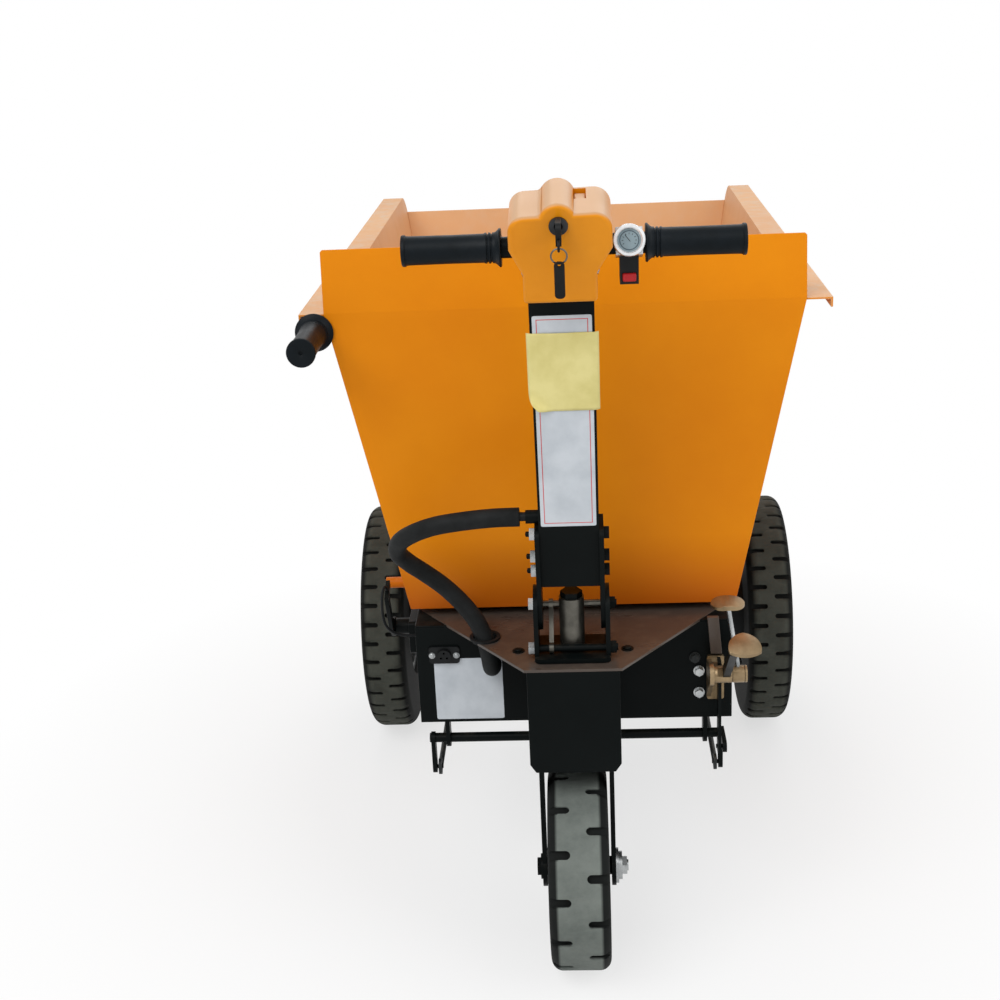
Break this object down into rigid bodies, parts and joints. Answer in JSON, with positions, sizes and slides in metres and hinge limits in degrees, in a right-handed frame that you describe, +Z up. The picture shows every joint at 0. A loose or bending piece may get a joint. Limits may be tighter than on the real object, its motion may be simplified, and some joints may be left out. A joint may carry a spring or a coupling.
{
  "type": "concrete buggy",
  "caption": "Electric walk-behind tipping dumper: sheet-steel bucket on a battery box, two load wheels and one steered wheel under a handlebar column.",
  "frame": {"origin": "on the ground under the middle of the outer sizes", "axes": "+Y forward, the way the bucket pours; +X right as the operator behind the column sees it; +Z up"},
  "size_m": [0.762, 1.381, 1.1336],
  "materials": {
    "black_paint": "semi-gloss black powder coat",
    "deck_gloss": "gloss black paint",
    "bright_steel": "plain or zinc-plated steel",
    "cast_iron": "bare casting",
    "motor_alloy": "cast aluminium",
    "battery_case": "moulded case",
    "black_plastic": "moulded black plastic",
    "zinc_yellow": "yellow-passivated zinc plate",
    "black_rubber": "matt black rubber",
    "orange_plastic": "yellow-orange moulded plastic",
    "gauge_alloy": "cast and polished",
    "lock_chrome": "chrome plate",
    "red_plastic": "red moulded plastic",
    "front_tyre_rubber": "dusty grey rubber",
    "load_tyre_rubber": "dark grey rubber",
    "rim_paint": "silver-grey paint",
    "orange_paint": "yellow-orange paint",
    "label_film": "blank white film",
    "paper_note": "thin yellow sheet"
  },
  "bodies": {
    "chassis": {"chassis_box": "black_paint", "box_lid": "black_paint", "deck_plate": "deck_gloss", "nose_box": "black_paint", "head_tube": "black_paint", "steering_bearings": "bright_steel", "axle_housing": "black_paint", "drive_motor": "motor_alloy", "battery_pack": "battery_case", "motor_controller": "motor_alloy", "charge_socket": "black_plastic", "shaft_hangers": "black_paint", "pedal_bracket": "zinc_yellow", "latch_bracket": "black_paint", "bucket_hinges": "black_paint", "rest_pads": "black_rubber", "drum_brakes": "cast_iron", "hose_grommet": "black_rubber", "conduit_hose": "black_rubber", "latch_lanyard": "black_rubber"},
    "steering": {"fork": "black_paint", "front_axle": "bright_steel", "stem_bracket": "black_paint", "column_straps": "black_paint", "column": "black_paint", "steering_bolts": "bright_steel", "head_cover": "orange_plastic", "handlebar": "black_paint", "left_grip": "black_rubber", "gauge_body": "gauge_alloy", "lock_cylinder": "lock_chrome"},
    "front_wheel": {"front_tyre": "front_tyre_rubber", "front_rim": "rim_paint", "front_bearings": "bright_steel"},
    "left_wheel": {"left_tyre": "load_tyre_rubber", "left_rim": "rim_paint", "left_hub_drum": "cast_iron"},
    "right_wheel": {"right_tyre": "load_tyre_rubber", "right_rim": "rim_paint", "right_hub_drum": "cast_iron"},
    "bucket": {"bucket_floor": "orange_paint", "bucket_left_side": "orange_paint", "bucket_right_side": "orange_paint", "bucket_rear": "orange_paint", "bucket_front": "orange_paint", "bucket_lugs": "orange_paint", "tip_bar": "orange_paint", "tip_grip": "black_rubber"},
    "throttle": {"throttle_grip": "black_rubber"},
    "button": {"red_button": "red_plastic"},
    "selector": {"selector_switch": "orange_plastic"},
    "key": {"ignition_key": "black_plastic"},
    "fob": {"key_fob": "black_plastic"},
    "brake_pedal": {"brake_pedal": "zinc_yellow"},
    "park_pedal": {"park_pedal": "zinc_yellow"},
    "brake_link": {"brake_link": "black_paint"},
    "cross_shaft": {"cross_shaft": "black_paint"},
    "brake_rods": {"brake_rods": "bright_steel"},
    "brake_levers": {"brake_levers": "bright_steel"},
    "latch_hook": {"latch_hook": "black_paint"}
  },
  "joints": [
    {"name": "steer", "type": "hinge", "parent": "chassis", "child": "steering", "pos_m": [0, -0.491, 0.4], "axis": [0, 0, 1], "range_deg": [-35, 35]},
    {"name": "front_wheel_spin", "type": "hinge", "parent": "steering", "child": "front_wheel", "pos_m": [0, -0.491, 0.144], "axis": [1, 0, 0], "continuous": true},
    {"name": "left_wheel_spin", "type": "hinge", "parent": "chassis", "child": "left_wheel", "pos_m": [-0.342, 0.267, 0.207], "axis": [1, 0, 0], "continuous": true},
    {"name": "right_wheel_spin", "type": "hinge", "parent": "chassis", "child": "right_wheel", "pos_m": [0.342, 0.267, 0.207], "axis": [1, 0, 0], "continuous": true},
    {"name": "bucket_tip", "type": "hinge", "parent": "chassis", "child": "bucket", "pos_m": [0, 0.339, 0.45], "axis": [1, 0, 0], "range_deg": [-70, 0]},
    {"name": "throttle_turn", "type": "hinge", "parent": "steering", "child": "throttle", "pos_m": [0.15, -0.59985, 1.05698], "axis": [1, 0, 0], "range_deg": [0, 60], "stiffness_Nm_per_rad": 0.3, "springref_deg": -20.05},
    {"name": "button_press", "type": "slide", "parent": "steering", "child": "button", "axis": [0, 0.9759, 0.2181], "range_m": [0, 0.002], "stiffness_N_per_m": 600, "springref_m": -0.002},
    {"name": "selector_slide", "type": "slide", "parent": "steering", "child": "selector", "axis": [0, 0.9759, 0.2181], "range_m": [-0.004, 0.004]},
    {"name": "key_turn", "type": "hinge", "parent": "steering", "child": "key", "pos_m": [0, -0.65847, 1.08999], "axis": [0, 0.9759, 0.2181], "range_deg": [0, 50]},
    {"name": "fob_hang", "type": "hinge", "parent": "key", "child": "fob", "pos_m": [0, -0.69141, 1.06777], "axis": [0, 0.9759, 0.2181], "range_deg": [-50, 0]},
    {"name": "brake_press", "type": "hinge", "parent": "chassis", "child": "brake_pedal", "pos_m": [0.21, -0.451, 0.424], "axis": [1, 0, 0], "range_deg": [0, 25], "stiffness_Nm_per_rad": 6, "springref_deg": -14.9},
    {"name": "park_press", "type": "hinge", "parent": "chassis", "child": "park_pedal", "pos_m": [0.23, -0.451, 0.424], "axis": [1, 0, 0], "range_deg": [-20, 0], "stiffness_Nm_per_rad": 4, "springref_deg": 11.46},
    {"name": "link_rise", "type": "slide", "parent": "chassis", "child": "brake_link", "axis": [0, 0, 1], "range_m": [0, 0.0105]},
    {"name": "shaft_turn", "type": "hinge", "parent": "chassis", "child": "cross_shaft", "pos_m": [0, -0.386, 0.298], "axis": [1, 0, 0], "range_deg": [-15, 0]},
    {"name": "rods_pull", "type": "slide", "parent": "chassis", "child": "brake_rods", "axis": [0, 1, 0], "range_m": [-0.0125, 0]},
    {"name": "levers_turn", "type": "hinge", "parent": "chassis", "child": "brake_levers", "pos_m": [0, 0.217, 0.207], "axis": [1, 0, 0], "range_deg": [0, 17]},
    {"name": "hook_swing", "type": "hinge", "parent": "chassis", "child": "latch_hook", "pos_m": [-0.264, -0.331, 0.454], "axis": [1, 0, 0], "range_deg": [-25, 0]}
  ],
  "couplings": [
    {"joint": "fob_hang", "follows": "key_turn", "ratio": -1},
    {"joint": "link_rise", "follows": "brake_press", "m_per_rad": 0.023246},
    {"joint": "shaft_turn", "follows": "brake_press", "ratio": -0.5729},
    {"joint": "rods_pull", "follows": "brake_press", "m_per_rad": -0.02721},
    {"joint": "levers_turn", "follows": "brake_press", "ratio": 0.6411}
  ]
}
